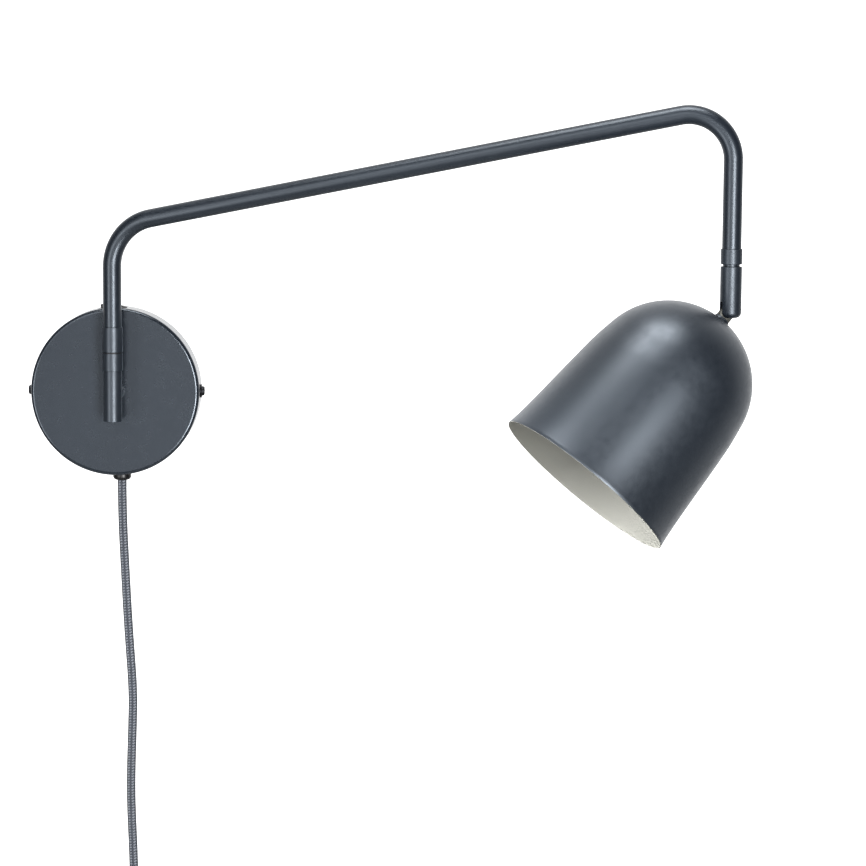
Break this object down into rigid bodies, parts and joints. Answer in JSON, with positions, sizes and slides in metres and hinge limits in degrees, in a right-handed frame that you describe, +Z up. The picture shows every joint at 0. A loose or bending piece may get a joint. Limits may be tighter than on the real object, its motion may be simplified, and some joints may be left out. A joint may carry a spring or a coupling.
{
  "type": "swing-arm wall sconce",
  "caption": "Swing-arm wall sconce: a bent tube arm pivots on a round canopy and carries a tilting bell shade, with a rocker switch and a braided mains lead with plug.",
  "frame": {"origin": "centre of the canopy on the wall, at the back of its bracket", "axes": "+Y into the wall, +X to the right along the wall, +Z up"},
  "size_m": [0.5179, 0.229, 0.688],
  "materials": {
    "arm_paint": "satin slate-blue paint",
    "shade_paint": "satin slate-blue paint outside, matt off-white inside",
    "bare_brass": "turned, unpainted",
    "zinc_steel": "zinc plated",
    "screw_black": "blackened",
    "nylon": "moulded",
    "black_plastic": "moulded, fine grain",
    "rocker_black": "moulded, semi-gloss",
    "lead_sheath": "extruded sheath",
    "block_plastic": "moulded",
    "holder_plastic": "moulded, semi-gloss",
    "holder_ceramic": "unglazed",
    "contact_brass": "plated, rolled",
    "braid": "fine textile braid",
    "tie_band": "woven band",
    "pin_nickel": "nickel plated"
  },
  "bodies": {
    "wall_mount": {"wall_canopy": "arm_paint", "wall_bracket": "zinc_steel", "canopy_side_screws": "screw_black", "pivot_post": "arm_paint", "post_washer": "zinc_steel", "post_locknut": "zinc_steel", "pivot_pin": "arm_paint", "pivot_ring": "arm_paint", "friction_washer": "nylon", "post_lead": "lead_sheath", "switch_body": "black_plastic", "cord_grip": "black_plastic", "canopy_lead": "lead_sheath", "terminal_block": "block_plastic", "block_screws": "screw_black", "mains_cord": "braid", "cord_coil": "braid", "coil_tie": "tie_band", "plug_body": "black_plastic", "plug_pins": "pin_nickel"},
    "arm": {"arm_spindle": "zinc_steel", "spindle_nut": "zinc_steel", "arm_sleeve": "arm_paint", "arm_tube": "arm_paint", "arm_lead": "lead_sheath", "drop_sleeve": "arm_paint"},
    "knuckle": {"knuckle": "arm_paint", "swivel_nipple": "zinc_steel", "swivel_nut": "zinc_steel", "tilt_pin": "zinc_steel"},
    "shade": {"tilt_stem": "bare_brass", "stem_collar": "arm_paint", "shade": "shade_paint", "shade_nut": "zinc_steel", "holder_cap": "holder_plastic", "holder_shell": "holder_plastic", "holder_insert": "holder_ceramic", "thread_shell": "contact_brass", "centre_contact": "contact_brass"},
    "rocker": {"switch_rocker": "rocker_black"}
  },
  "joints": [
    {"name": "arm_swing", "type": "hinge", "parent": "wall_mount", "child": "arm", "pos_m": [0, -0.039, 0], "axis": [0, 0, 1], "range_deg": [-167.7, 12.3]},
    {"name": "shade_swivel", "type": "hinge", "parent": "arm", "child": "knuckle", "pos_m": [0.42589, -0.13186, 0.099], "axis": [0, 0, 1], "range_deg": [-165, 165]},
    {"name": "shade_tilt", "type": "hinge", "parent": "knuckle", "child": "shade", "pos_m": [0.42589, -0.13186, 0.0705], "axis": [-0.3206, 0.9472, 0], "range_deg": [-41.9, 48.1]},
    {"name": "switch_rock", "type": "hinge", "parent": "wall_mount", "child": "rocker", "pos_m": [-0.0024, -0.0125, 0.055], "axis": [0, -1, 0], "range_deg": [0, 10.7]}
  ]
}
